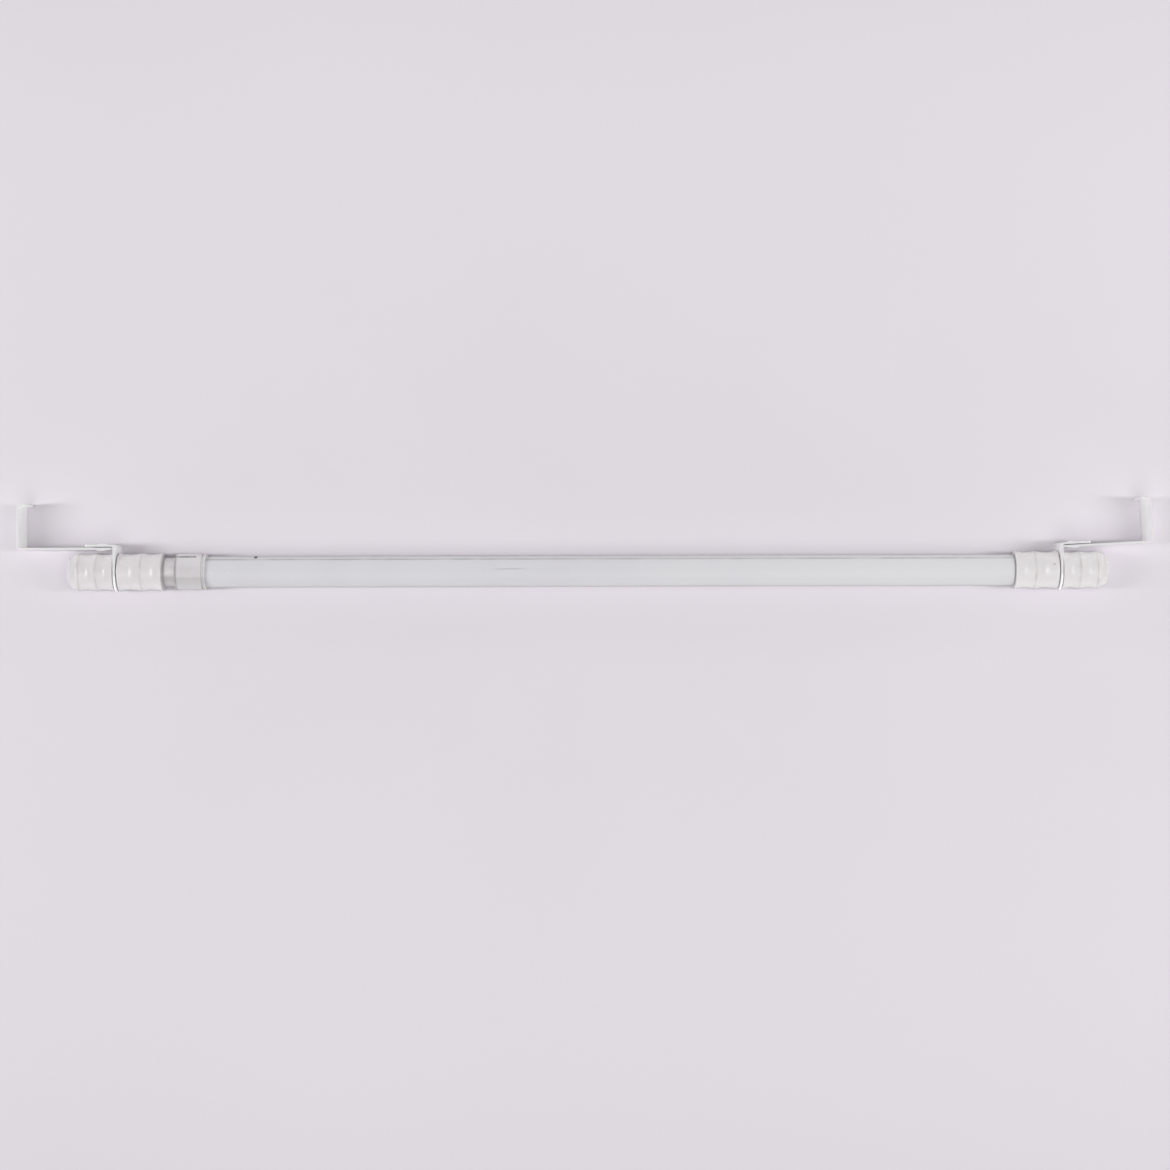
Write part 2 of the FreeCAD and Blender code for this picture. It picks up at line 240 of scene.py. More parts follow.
class Shader:
    """One procedural material and the few node moves that its finish is drawn with."""

    CLOUD_EDGES = (0.3, 0.7)
    BAND_CORE = 0.25
    DUST_ROUGHNESS = 0.9

    def __init__(
        self,
        name: str,
        roughness: float,
        metallic: float = 0.0,
        specular: float = 0.5,
        dust: float = 0.0,
        matt: float = 0.0,
    ) -> None:
        """Start a material with a principled shader.

        Args:
            name: The material's name.
            roughness: Roughness before any variation.
            metallic: 1 for bare metal, 0 for paint, plastic and rubber.
            specular: Strength of the mirror reflection of paint, plastic and rubber.
            dust: Strength of the pale sheen that fine dust gives at a slant.
            matt: How chalky the colour itself is, from 0 to 1.
        """
        self.material = bpy.data.materials.new(name)
        self.material.use_nodes = True
        self.nodes = self.material.node_tree.nodes
        self.links = self.material.node_tree.links
        self.surface = self.nodes["Principled BSDF"]
        self.surface.inputs["Roughness"].default_value = roughness
        self.surface.inputs["Metallic"].default_value = metallic
        self.surface.inputs["Specular IOR Level"].default_value = specular
        self.surface.inputs["Sheen Weight"].default_value = dust
        self.surface.inputs["Sheen Roughness"].default_value = self.DUST_ROUGHNESS
        self.surface.inputs["Diffuse Roughness"].default_value = matt
        self.place = self.nodes.new("ShaderNodeTexCoord").outputs["Object"]

    def feed(self, socket: Socket, value: Socket | float | Colour) -> None:
        """Link a socket to another, or set its value.

        Args:
            socket: The input.
            value: An output to link, a number, or a colour.
        """
        if isinstance(value, Socket):
            self.links.new(value, socket)
        elif isinstance(value, tuple):
            socket.default_value = (*value, 1.0)
        else:
            socket.default_value = value

    def mapped(self, scale: Triple) -> Socket:
        """Object coordinates stretched along the axes.

        Args:
            scale: Factors along X, Y and Z.

        Returns:
            The stretched coordinates.
        """
        node = self.nodes.new("ShaderNodeMapping")
        self.links.new(self.place, node.inputs["Vector"])
        node.inputs["Scale"].default_value = scale
        return node.outputs["Vector"]

    def axes(self) -> tuple[Socket, Socket, Socket]:
        """Object coordinates as three numbers.

        Returns:
            Along the rod, across it in the plane of the hooks, and up.
        """
        node = self.nodes.new("ShaderNodeSeparateXYZ")
        self.links.new(self.place, node.inputs[0])
        return node.outputs[0], node.outputs[1], node.outputs[2]

    def noise(self, scale: float, detail: float = 2.0, stretch: Triple | None = None) -> Socket:
        """Smooth noise about 0.5.

        Args:
            scale: Cells in a metre.
            detail: Finer layers on top.
            stretch: Factors along the axes, for noise drawn out in one direction.

        Returns:
            The noise.
        """
        node = self.nodes.new("ShaderNodeTexNoise")
        place = self.place if stretch is None else self.mapped(stretch)
        self.links.new(place, node.inputs["Vector"])
        node.inputs["Scale"].default_value = scale
        node.inputs["Detail"].default_value = detail
        return node.outputs["Fac"]

    def clouds(self, scale: float, detail: float, low: float = 0.0, high: float = 1.0) -> Socket:
        """Soft patches of noise.

        Args:
            scale: Cells in a metre.
            detail: Finer layers on top.
            low: Result in one kind of patch.
            high: Result in the other kind.

        Returns:
            The patches.
        """
        return self.ease(self.noise(scale, detail), *self.CLOUD_EDGES, low, high)

    def cells(self, scale: float) -> Socket:
        """Random cells, as the distance from each cell's middle.

        Args:
            scale: Cells in a metre.

        Returns:
            The distance.
        """
        node = self.nodes.new("ShaderNodeTexVoronoi")
        self.links.new(self.place, node.inputs["Vector"])
        node.inputs["Scale"].default_value = scale
        return node.outputs["Distance"]

    def ease(
        self, value: Socket, start: float, end: float, low: float = 0.0, high: float = 1.0
    ) -> Socket:
        """Map a range of a value smoothly onto another.

        Args:
            value: The value.
            start: Where the low result is reached.
            end: Where the high result is reached.
            low: Result at start and before.
            high: Result at end and beyond.

        Returns:
            The mapped value.
        """
        node = self.nodes.new("ShaderNodeMapRange")
        node.interpolation_type = "SMOOTHSTEP"
        self.links.new(value, node.inputs["Value"])
        ends = {"From Min": start, "From Max": end, "To Min": low, "To Max": high}
        for key, number in ends.items():
            node.inputs[key].default_value = number
        return node.outputs["Result"]

    def sum(self, operation: str, first: Socket | float, second: Socket | float = 0.0) -> Socket:
        """One step of arithmetic.

        Args:
            operation: The name of the step.
            first: First value.
            second: Second value.

        Returns:
            The result.
        """
        node = self.nodes.new("ShaderNodeMath")
        node.operation = operation
        self.feed(node.inputs[0], first)
        self.feed(node.inputs[1], second)
        return node.outputs[0]

    def times(self, first: Socket, second: Socket | float) -> Socket:
        """One value times another."""
        return self.sum("MULTIPLY", first, second)

    def near(self, value: Socket, middle: float, half_width: float) -> Socket:
        """A soft band that is 1 at one value and 0 half a width away.

        Args:
            value: The value.
            middle: Where the band is strongest.
            half_width: Where it has faded out.

        Returns:
            The band.
        """
        away = self.sum("ABSOLUTE", self.sum("SUBTRACT", value, middle))
        return self.ease(away, self.BAND_CORE * half_width, half_width, 1.0, 0.0)

    def mix(self, amount: Socket, base: Socket | Colour, other: Socket | Colour) -> Socket:
        """Blend two colours.

        Args:
            amount: 0 gives the base, 1 the other.
            base: Colour or output.
            other: Colour or output.

        Returns:
            The blended colour.
        """
        node = self.nodes.new("ShaderNodeMix")
        node.data_type = "RGBA"
        self.links.new(amount, node.inputs["Factor"])
        self.feed(node.inputs[MIX_A], base)
        self.feed(node.inputs[MIX_B], other)
        return node.outputs[MIX_RESULT]

    def relief(
        self, height: Socket, depth: float, strength: float, under: Socket | None = None
    ) -> Socket:
        """Bump from a height.

        Args:
            height: The height, 0 to 1.
            depth: What a height of 1 stands for, in metres.
            strength: How much of it shows.
            under: Normal of the relief below, if any.

        Returns:
            The normal.
        """
        node = self.nodes.new("ShaderNodeBump")
        node.inputs["Strength"].default_value = strength
        node.inputs["Distance"].default_value = depth
        self.links.new(height, node.inputs["Height"])
        if under is not None:
            self.links.new(under, node.inputs["Normal"])
        return node.outputs["Normal"]

    def line_mark(self, start: Place, end: Place, width: float) -> Socket:
        """A fine straight mark on the upper side, seen from above.

        Args:
            start: Start (x, y) in metres.
            end: End (x, y) in metres.
            width: Its width in metres.

        Returns:
            1 on the mark and 0 off it.
        """
        run = Vector(end) - Vector(start)
        node = self.nodes.new("ShaderNodeMapping")
        node.vector_type = "TEXTURE"
        self.links.new(self.place, node.inputs["Vector"])
        node.inputs["Location"].default_value = (*start, 0)
        node.inputs["Rotation"].default_value = (0, 0, math.atan2(run.y, run.x))
        node.inputs["Scale"].default_value = (run.length, width, 1)
        parts = self.nodes.new("ShaderNodeSeparateXYZ")
        self.links.new(node.outputs["Vector"], parts.inputs[0])
        along = self.near(parts.outputs[0], 0.5, 0.5)
        across = self.near(parts.outputs[1], 0.0, 0.5)
        upper = self.ease(parts.outputs[2], 0.0, 1 * MM)
        return self.times(self.times(along, across), upper)

    def draw_round(self, amount: float) -> None:
        """Stretch the highlights round the rod's axis.

        Args:
            amount: 0 leaves them round, 1 stretches them most.
        """
        tangent = self.nodes.new("ShaderNodeTangent")
        tangent.direction_type = "RADIAL"
        tangent.axis = "X"
        self.links.new(tangent.outputs["Tangent"], self.surface.inputs["Tangent"])
        self.surface.inputs["Anisotropic"].default_value = amount

    def wear(self, colour: Socket) -> None:
        """Give the surface its colour."""
        self.links.new(colour, self.surface.inputs["Base Color"])

    def polish(self, roughness: Socket) -> None:
        """Give the surface its roughness."""
        self.links.new(roughness, self.surface.inputs["Roughness"])

    def shape(self, normal: Socket) -> None:
        """Give the surface its relief."""
        self.links.new(normal, self.surface.inputs["Normal"])


@dataclass(frozen=True)
class CollarSlit:
    """Where the collar is split along the tube; angles are in degrees from the top."""

    angle: float = 58.0
    half_width: float = 9.0
    end_x: float = -164.6 * MM
    fade: float = 0.4 * MM

    def length(self, ink: Shader, along: Socket) -> Socket:
        """1 beside the slit and 0 past its end."""
        return ink.ease(along, self.end_x, self.end_x - self.fade)

    def band(self, ink: Shader, angle: Socket) -> Socket:
        """A soft band over the slit, round the tube."""
        return ink.near(angle, math.radians(self.angle), math.radians(self.half_width))


@dataclass(frozen=True)
class TubePaint:
    """Smooth white stove paint on the outer tube with a few marks of use; its seam line is grime
    and painted shade, with painted shade on the lower flank, under the collar's slit and at the
    cap's mouth, and painted light towards the right end.
    """

    colour: Colour = (0.664, 0.655, 0.680)
    light: Colour = (0.682, 0.677, 0.696)
    right_end_lit: Colour = (0.702, 0.697, 0.709)
    grime_and_shade: Colour = (0.36, 0.35, 0.36)
    bare_and_shade: Colour = (0.20, 0.19, 0.19)
    pit: Colour = (0.05, 0.045, 0.045)
    seam_angle: float = 51.0
    seam_half_width: float = 6.0
    slit: CollarSlit = CollarSlit()
    cap_shade_x: float = 179.45 * MM
    scratch: Mark = ((-42.5 * MM, 0.75 * MM), (-24.0 * MM, 1.0 * MM), 0.55 * MM)
    chip: Mark = ((-140.9 * MM, 6.25 * MM), (-138.9 * MM, 6.15 * MM), 2.0 * MM)

    def make(self) -> bpy.types.Material:
        """Draw the finish as nodes.

        Returns:
            The material.
        """
        ink = Shader("white_stove_paint", roughness=0.5, specular=0.15, matt=0.7)
        along, across, up = ink.axes()
        colour = ink.mix(ink.clouds(38, 3), self.colour, self.light)
        # painted light: lighter towards the right end, where more light falls
        colour = ink.mix(ink.ease(along, -0.02, 0.16), colour, self.right_end_lit)
        # painted shade: darker on the lower flank
        colour = ink.mix(ink.ease(across, -1.5 * MM, -4.5 * MM, 0.0, 0.09), colour, self.grime_and_shade)
        angle = ink.sum("ARCTAN2", across, up)
        # the seam line: grime and painted shade of the seam's groove
        seam = ink.near(angle, math.radians(self.seam_angle), math.radians(self.seam_half_width))
        patchy = ink.ease(ink.noise(90, 2, (1, 0.2, 0.2)), 0.3, 0.65, 0.25, 0.6)
        colour = ink.mix(ink.times(seam, patchy), colour, self.grime_and_shade)
        # painted shade: dark under the collar's slit
        slit = ink.times(self.slit.band(ink, angle), self.slit.length(ink, along))
        colour = ink.mix(slit, colour, self.bare_and_shade)
        # painted shade: dark line where the tube goes into the right cap
        colour = ink.mix(ink.near(along, self.cap_shade_x, 0.55 * MM), colour, self.grime_and_shade)
        scratch = ink.line_mark(*self.scratch)
        colour = ink.mix(ink.times(scratch, 0.55), colour, self.grime_and_shade)
        colour = ink.mix(ink.line_mark(*self.chip), colour, self.pit)
        speck = ink.ease(ink.cells(420), 0.05, 0.11, 1, 0)
        speck = ink.times(speck, ink.ease(ink.noise(60, 1), 0.58, 0.66))
        ink.wear(ink.mix(ink.times(speck, 0.4), colour, self.grime_and_shade))
        drawn = ink.noise(1, 3, (14, 1400, 1400))
        ink.polish(ink.ease(drawn, 0.3, 0.7, 0.42, 0.56))
        peel = ink.relief(ink.noise(1500, 1), 0.012 * MM, 0.5)
        peel = ink.relief(drawn, 0.01 * MM, 0.4, peel)
        ink.shape(ink.relief(scratch, -0.03 * MM, 0.8, peel))
        return ink.material


@dataclass(frozen=True)
class HookPaint:
    """Powder paint on the folded hooks, with painted shade along the edges of the sheet and patches
    of rubbed wear there.
    """

    colour: Colour = (0.860, 0.850, 0.858)
    light: Colour = (0.890, 0.880, 0.888)
    edge_shade: Colour = (0.655, 0.645, 0.655)
    wear_and_shade: Colour = (0.50, 0.49, 0.50)
    half_width: float = 8.5 * MM

    def make(self) -> bpy.types.Material:
        """Draw the finish as nodes.

        Returns:
            The material.
        """
        ink = Shader("white_powder_paint", roughness=0.34, specular=0.35, dust=1.0, matt=1.0)
        _, _, up = ink.axes()
        colour = ink.mix(ink.clouds(120, 3), self.colour, self.light)
        reach = ink.sum("ABSOLUTE", up)
        # painted shade: darker along the sheet's edges, with patches of rubbed wear
        edge = ink.ease(reach, self.half_width - 0.35 * MM, self.half_width - 0.1 * MM)
        colour = ink.mix(edge, colour, self.edge_shade)
        bare_and_shade = ink.ease(ink.noise(700, 3), 0.60, 0.72, 0.0, 0.4)
        colour = ink.mix(ink.times(edge, bare_and_shade), colour, self.wear_and_shade)
        ink.wear(colour)
        ink.polish(ink.clouds(300, 2, 0.28, 0.40))
        ink.shape(ink.relief(ink.noise(2200, 2), 0.02 * MM, 0.6))
        return ink.material


@dataclass(frozen=True)
class CapRubber:
    """Soft warm white rubber, matt, with one dark speck and painted light and shade: grey lines on
    its ridges, a dark waist, a darker nose, a shadow under the hook's arm, and lighter towards the
    right end.
    """

    colour: Colour = (0.684, 0.650, 0.660)
    light: Colour = (0.703, 0.668, 0.678)
    right_end_lit: Colour = (0.718, 0.699, 0.703)
    grime_and_shade: Colour = (0.47, 0.45, 0.43)
    wear_and_shade: Colour = (0.55, 0.525, 0.54)
    speck: Colour = (0.22, 0.20, 0.19)
    ridges: tuple[float, ...] = (187.9 * MM, 206.7 * MM, 214.2 * MM)
    ridge_half_width: float = 0.75 * MM
    waist: float = PLATE_X
    nose: float = 219.0 * MM
    arm_shade_y: Span = (7.1 * MM, 8.1 * MM)
    arm_shade_x: Span = (203.0 * MM, 7.0 * MM)
    dot: Mark = ((195.1 * MM, 2.5 * MM), (196.2 * MM, 2.2 * MM), 0.9 * MM)

    def make(self) -> bpy.types.Material:
        """Draw the finish as nodes.

        Returns:
            The material.
        """
        ink = Shader("soft_white_rubber", roughness=0.4, dust=0.3, matt=0.9)
        ink.draw_round(0.9)
        along, across, up = ink.axes()
        colour = ink.mix(ink.clouds(160, 3), self.colour, self.light)
        # painted light: lighter towards the right end
        colour = ink.mix(ink.ease(along, -0.1, 0.1, 0.0, 0.85), colour, self.right_end_lit)
        reach = ink.sum("ABSOLUTE", along)
        # painted shade: grey lines along the ridges
        ridge_shade = ink.near(reach, self.ridges[0], self.ridge_half_width)
        for ridge in self.ridges[1:]:
            ridge_shade = ink.sum("MAXIMUM", ridge_shade, ink.near(reach, ridge, self.ridge_half_width))
        shade_patches = ink.clouds(260, 3, 0.25, 0.6)
        colour = ink.mix(ink.times(ridge_shade, shade_patches), colour, self.grime_and_shade)
        # painted shade: dark band in the waist, either side of the ring plate
        colour = ink.mix(ink.near(reach, self.waist, 1.15 * MM), colour, self.speck)
        # painted shade: darker over the rounded nose
        nose_shade = ink.ease(reach, self.nose - 3.4 * MM, self.nose - 0.3 * MM)
        colour = ink.mix(nose_shade, colour, self.wear_and_shade)
        # painted shadow under the hook's arm, on the cap's upper side
        under_arm_shade = ink.ease(across, *self.arm_shade_y, 0.0, 0.85)
        under_arm_shade = ink.times(under_arm_shade, ink.near(reach, *self.arm_shade_x))
        colour = ink.mix(under_arm_shade, colour, self.speck)
        dot = ink.times(ink.line_mark(*self.dot), 0.75)
        ink.wear(ink.mix(dot, colour, self.speck))
        ink.polish(ink.clouds(420, 2, 0.22, 0.28))
        skin = ink.relief(ink.noise(1700, 1), 0.003 * MM, 0.3)
        parting = ink.near(up, 0.0, 0.18 * MM)
        ink.shape(ink.relief(parting, 0.05 * MM, 0.7, skin))
        return ink.material


@dataclass(frozen=True)
class CollarPlastic:
    """Pale grey moulded plastic of the mouth collar, with painted shade along its edges, in its
    slit and on its lower side, and painted light on its upper side and along the slit's edge.
    """

    colour: Colour = (0.600, 0.576, 0.592)
    light: Colour = (0.630, 0.605, 0.621)
    painted_light: Colour = (0.760, 0.750, 0.765)
    grime_and_shade: Colour = (0.20, 0.19, 0.19)
    mouth_x: float = -173.3 * MM
    groove_x: float = -161.7 * MM
    rim_end_x: float = -160.6 * MM
    slit: CollarSlit = CollarSlit()
    slit_edge: float = 17.0
    slit_edge_half_width: float = 10.0

    def make(self) -> bpy.types.Material:
        """Draw the finish as nodes.

        Returns:
            The material.
        """
        ink = Shader("grey_white_plastic", roughness=0.45, specular=0.15, dust=0.35, matt=0.9)
        colour = ink.mix(ink.clouds(220, 2), self.colour, self.light)
        along, across, up = ink.axes()
        # painted light on the upper side, painted shade on the lower side
        colour = ink.mix(ink.ease(across, 1.2 * MM, 3.4 * MM, 0.0, 0.15), colour, self.painted_light)
        colour = ink.mix(ink.ease(across, -1.6 * MM, -3.2 * MM, 0.0, 0.26), colour, self.grime_and_shade)
        angle = ink.sum("ARCTAN2", across, up)
        split = self.slit.length(ink, along)
        # painted highlight along the lit edge of the slit
        edge = math.radians(self.slit.angle + self.slit_edge)
        lit = ink.near(angle, edge, math.radians(self.slit_edge_half_width))
        colour = ink.mix(ink.times(lit, split), colour, self.painted_light)
        # painted shade in the slit, at the mouth's edge, in the groove and at the rim's end
        painted_shade = ink.times(self.slit.band(ink, angle), split)
        lines = (
            (self.mouth_x, 0.8 * MM, 0.85),
            (self.groove_x, 0.5 * MM, 0.3),
            (self.rim_end_x, 0.4 * MM, 0.35),
        )
        for place, half_width, depth in lines:
            line = ink.times(ink.near(along, place, half_width), depth)
            painted_shade = ink.sum("MAXIMUM", painted_shade, line)
        shade_patches = ink.clouds(520, 3, 0.65, 1.0)
        ink.wear(ink.mix(ink.times(painted_shade, shade_patches), colour, self.grime_and_shade))
        ink.polish(ink.clouds(480, 2, 0.40, 0.52))
        ink.shape(ink.relief(ink.noise(900, 1), 0.012 * MM, 0.4))
        return ink.material


@dataclass(frozen=True)
class ZincTube:
    """Dull zinc plated steel with fine drawing lines along the tube, a painted reflection that is
    lighter above and darker in a band below, and painted shade against the cap.
    """

    colour: Colour = (0.580, 0.552, 0.565)
    light: Colour = (0.630, 0.602, 0.615)
    painted_light: Colour = (0.76, 0.72, 0.74)
    grime_and_shade: Colour = (0.30, 0.29, 0.29)
    cap_shade_x: float = -178.5 * MM

    def make(self) -> bpy.types.Material:
        """Draw the finish as nodes.

        Returns:
            The material.
        """
        ink = Shader("bare_zinc_steel", roughness=0.5, metallic=0.15, specular=0.4, dust=0.5)
        along, across, _ = ink.axes()
        drawn = ink.noise(1, 4, (20, 1600, 1600))
        colour = ink.mix(ink.ease(drawn, 0.25, 0.75), self.colour, self.light)
        # painted reflection: lighter on the upper side
        colour = ink.mix(ink.ease(across, 1.0 * MM, 4.0 * MM, 0.0, 0.8), colour, self.painted_light)
        # painted reflection: a dark band on the lower side
        dark_reflection = ink.times(ink.near(across, -2.8 * MM, 2.2 * MM), 0.5)
        # painted shade: dark line against the cap's open end
        painted_shade = ink.sum("MAXIMUM", dark_reflection, ink.near(along, self.cap_shade_x, 0.8 * MM))
        ink.wear(ink.mix(painted_shade, colour, self.grime_and_shade))
        ink.polish(ink.ease(ink.cells(650), 0.0, 0.8, 0.45, 0.58))
        ink.shape(ink.relief(drawn, 0.002 * MM, 0.5))
        return ink.material


@dataclass(frozen=True)
class SpringWire:
    """Dark drawn spring steel with a film of oil."""

    colour: Colour = (0.30, 0.30, 0.31)
    light: Colour = (0.47, 0.46, 0.45)

    def make(self) -> bpy.types.Material:
        """Draw the finish as nodes.

        Returns:
            The material.
        """
        ink = Shader("oiled_spring_steel", roughness=0.32, metallic=1.0)
        film = ink.ease(ink.noise(350, 4), 0.35, 0.7)
        ink.wear(ink.mix(film, self.colour, self.light))
        ink.polish(ink.clouds(900, 2, 0.24, 0.42))
        ink.shape(ink.relief(ink.noise(2500, 2), 0.01 * MM, 0.5))
        return ink.material


@dataclass(frozen=True)
class LockPlastic:
    """Grey moulded plastic of the pieces inside the tube, rubbed where they slide."""

    colour: Colour = (0.33, 0.335, 0.345)
    light: Colour = (0.40, 0.405, 0.41)

    def make(self) -> bpy.types.Material:
        """Draw the finish as nodes.

        Returns:
            The material.
        """
        ink = Shader("grey_moulded_plastic", roughness=0.45)
        ink.wear(ink.mix(ink.clouds(300, 3), self.colour, self.light))
        ink.polish(ink.ease(ink.noise(700, 2, (0.2, 1, 1)), 0.3, 0.7, 0.34, 0.54))
        ink.shape(ink.relief(ink.noise(1800, 2), 0.02 * MM, 0.5))
        return ink.material


@dataclass(frozen=True)
class FloorBoard:
    """Pale board that the rod lies on, painted lighter away from the rod and darker beside it and
    towards the left end, as painted light and shade.
    """

    colour: Colour = (0.683, 0.642, 0.690)
    light: Colour = (0.693, 0.652, 0.700)
    lit_margin: Colour = (0.746, 0.704, 0.753)
    shaded: Colour = (0.654, 0.614, 0.661)
    lit_margin_y: Span = (0.02, 0.26)
    shaded_y: Span = (-0.010, 0.034)
    shaded_x: Span = (-0.08, -0.26)

    def make(self) -> bpy.types.Material:
        """Draw the finish as nodes.

        Returns:
            The material.
        """
        ink = Shader("pale_board", roughness=0.75, specular=0.2)
        along, across, _ = ink.axes()
        colour = ink.mix(ink.clouds(9, 3), self.colour, self.light)
        # painted light: lighter away from the rod, where the lamps give less light
        colour = ink.mix(ink.ease(ink.sum("ABSOLUTE", across), *self.lit_margin_y), colour, self.lit_margin)
        # painted shadow beside the rod
        rod_shadow = ink.times(ink.near(across, *self.shaded_y), 0.55)
        colour = ink.mix(rod_shadow, colour, self.shaded)
        # painted shade: darker towards the left end
        ink.wear(ink.mix(ink.ease(along, *self.shaded_x, 0.0, 0.3), colour, self.shaded))
        ink.polish(ink.clouds(60, 2, 0.7, 0.85))
        ink.shape(ink.relief(ink.noise(800, 2), 0.01 * MM, 0.3))
        return ink.material


class Finishes:
    """Every finish of the rod, made once."""

    def __init__(self) -> None:
        """Make the materials."""
        self.tube_paint = TubePaint().make()
        self.hook_paint = HookPaint().make()
        self.rubber = CapRubber().make()
        self.collar = CollarPlastic().make()
        self.zinc = ZincTube().make()
        self.spring = SpringWire().make()
        self.lock = LockPlastic().make()
        self.floor = FloorBoard().make()


def dress(piece: bpy.types.Object, material: bpy.types.Material) -> None:
    """Give a piece one material.

    Args:
        piece: A new piece or a node of the frame.
        material: Its finish.
    """
    if not piece.data.materials:
        piece.data.materials.append(material)
    for slot in piece.material_slots:
        slot.material = material


@dataclass
class TelescopicTubes:
    """The two tubes and the collar, whose shapes the frame already holds."""

    finishes: Finishes

    def build(self) -> list[bpy.types.Object]:
        """Dress the tubes and the collar.

        Returns:
            The dressed nodes.
        """
        nodes = frame["nodes"]
        dress(nodes["outer_tube"], self.finishes.tube_paint)
        dress(nodes["inner_tube"], self.finishes.zinc)
        dress(nodes["mouth_collar"], self.finishes.collar)
        return [nodes["outer_tube"], nodes["inner_tube"], nodes["mouth_collar"]]


@dataclass
class EndCap:
    """A soft cap with shallow scallops between its ridges and a narrow waist for the hook."""

    side: Side
    finishes: Finishes
    sleeve_reach: float
    plate_x: float = PLATE_X
    nose_reach: float = 20.3 * MM
    ridge_radius: float = 8.0 * MM
    scallop_depth: float = 0.5 * MM
    sleeve_ridge_at: float = 10.8 * MM
    nose_ridges_at: Span = (8.0 * MM, 15.5 * MM)
    land: float = 0.6 * MM
    waist_radius: float = 6.0 * MM
    waist_half: float = 0.85 * MM
    nose_drop: float = 0.4 * MM
    nose_round: float = 3.9 * MM
    lip_round: float = 0.25 * MM
    socket_end: float = 2.5 * MM
    hub_radius: float = 0.4 * MM
    gate_radius: float = 1.5 * MM
    gate_depth: float = 0.3 * MM
    gate_taper: float = 0.2 * MM
    left_bore: float = 6.03 * MM
    right_bore: float = 6.53 * MM
    scallop_steps: int = 10
    lip_steps: int = 4
    nose_steps: int = 14
    smooth_angle: float = 40.0

    @property
    def name(self) -> str:
        """The frame's node that this cap stands for."""
        return f"{self.side.word}_end_cap"

    @property
    def socket_radius(self) -> float:
        """Bore of the socket, just over the tube that it is pushed on."""
        return self.left_bore if self.side is Side.LEFT else self.right_bore

    def scallop(self, start: float, end: float) -> Outline:
        """Stations of one shallow hollow between two ridges.

        Args:
            start: Where the hollow starts.
            end: Where it ends.

        Returns:
            The stations after the first.
        """
        stations = []
        for step in range(1, self.scallop_steps + 1):
            part = step / self.scallop_steps
            dip = self.scallop_depth * (1 - (2 * part - 1) ** 2)
            stations.append((start + part * (end - start), self.ridge_radius - dip))
        return stations

    def corner(self, x: float, radius: float, from_face: bool, outwards: int) -> Outline:
        """Stations of a small rounded lip between a face across the axis and the outside.

        Args:
            x: Place of the face.
            radius: Outside radius.
            from_face: True where the outline comes up the face, False where it goes down it.
            outwards: 1 where the body lies towards +X of the face, -1 where it lies towards -X.

        Returns:
            The stations, in order.
        """
        stations = []
        for turn in Bench.quarter(self.lip_steps):
            inset = self.lip_round * (1 - math.sin(turn))
            drop = self.lip_round * (1 - math.cos(turn))
            stations.append((x + outwards * inset, radius - drop))
        return stations[::-1] if from_face else stations

    def sleeve(self) -> Outline:
        """Stations from the socket's bottom over the open end to the waist.

        Returns:
            The stations, in order.
        """
        open_x = -self.sleeve_reach
        bottom = -self.socket_end
        half = self.land / 2
        socket = self.socket_radius
        outline = [(bottom, self.hub_radius), (bottom, socket), (open_x, socket)]
        outline += self.corner(open_x, self.ridge_radius, True, 1)
        outline += [(open_x + self.land, self.ridge_radius)]
        outline += self.scallop(open_x + self.land, -self.sleeve_ridge_at - half)
        outline += [(-self.sleeve_ridge_at + half, self.ridge_radius)]
        outline += self.scallop(-self.sleeve_ridge_at + half, -self.waist_half - self.land)
        outline += self.corner(-self.waist_half, self.ridge_radius, False, -1)
        waist = self.waist_radius
        return outline + [(-self.waist_half, waist), (self.waist_half, waist)]

    def nose(self) -> Outline:
        """Stations from the waist over the nose to the middle of its face.

        Returns:
            The stations, in order.
        """
        half = self.land / 2
        first, last = self.nose_ridges_at
        nose_radius = self.ridge_radius - self.nose_drop
        outline = self.corner(self.waist_half, self.ridge_radius, True, 1)
        outline += [(self.waist_half + self.land, self.ridge_radius)]
        outline += self.scallop(self.waist_half + self.land, first - half)
        outline += [(first + half, self.ridge_radius)]
        outline += self.scallop(first + half, last - half)
        outline += [(last + half, self.ridge_radius), (last + half + self.nose_drop, nose_radius)]
        for turn in Bench.quarter(self.nose_steps):
            x = self.nose_reach - self.nose_round * (1 - math.sin(turn))
            outline.append((x, nose_radius - self.nose_round * (1 - math.cos(turn))))
        gate_x = self.nose_reach - self.gate_depth
        gate_floor = self.gate_radius - self.gate_taper
        outline += [(self.nose_reach, self.gate_radius), (gate_x, gate_floor)]
        return outline + [(gate_x, self.hub_radius)]

    def build(self) -> bpy.types.Object:
        """Turn the cap, close its two ends and break its edges.

        Returns:
            The dressed cap.
        """
        sign = self.side.value
        outline = [(sign * (self.plate_x + x), radius) for x, radius in self.sleeve() + self.nose()]
        cap = Bench.turned(self.name + "_skin", outline)
        bpy.ops.object.mode_set(mode="EDIT")
        hub = self.hub_radius + 0.01 * MM
        for x in (outline[0][0], outline[-1][0]):
            Bench.pick(
                cap, lambda place: abs(place.x - x) < Bench.SAME_PLACE and place.yz.length < hub
            )
            bpy.ops.mesh.edge_face_add()
        Bench.close()
        Bench.shade(cap, self.smooth_angle)
        dress(cap, self.finishes.rubber)
        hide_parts(self.name)
        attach(cap, self.side.body)
        return cap


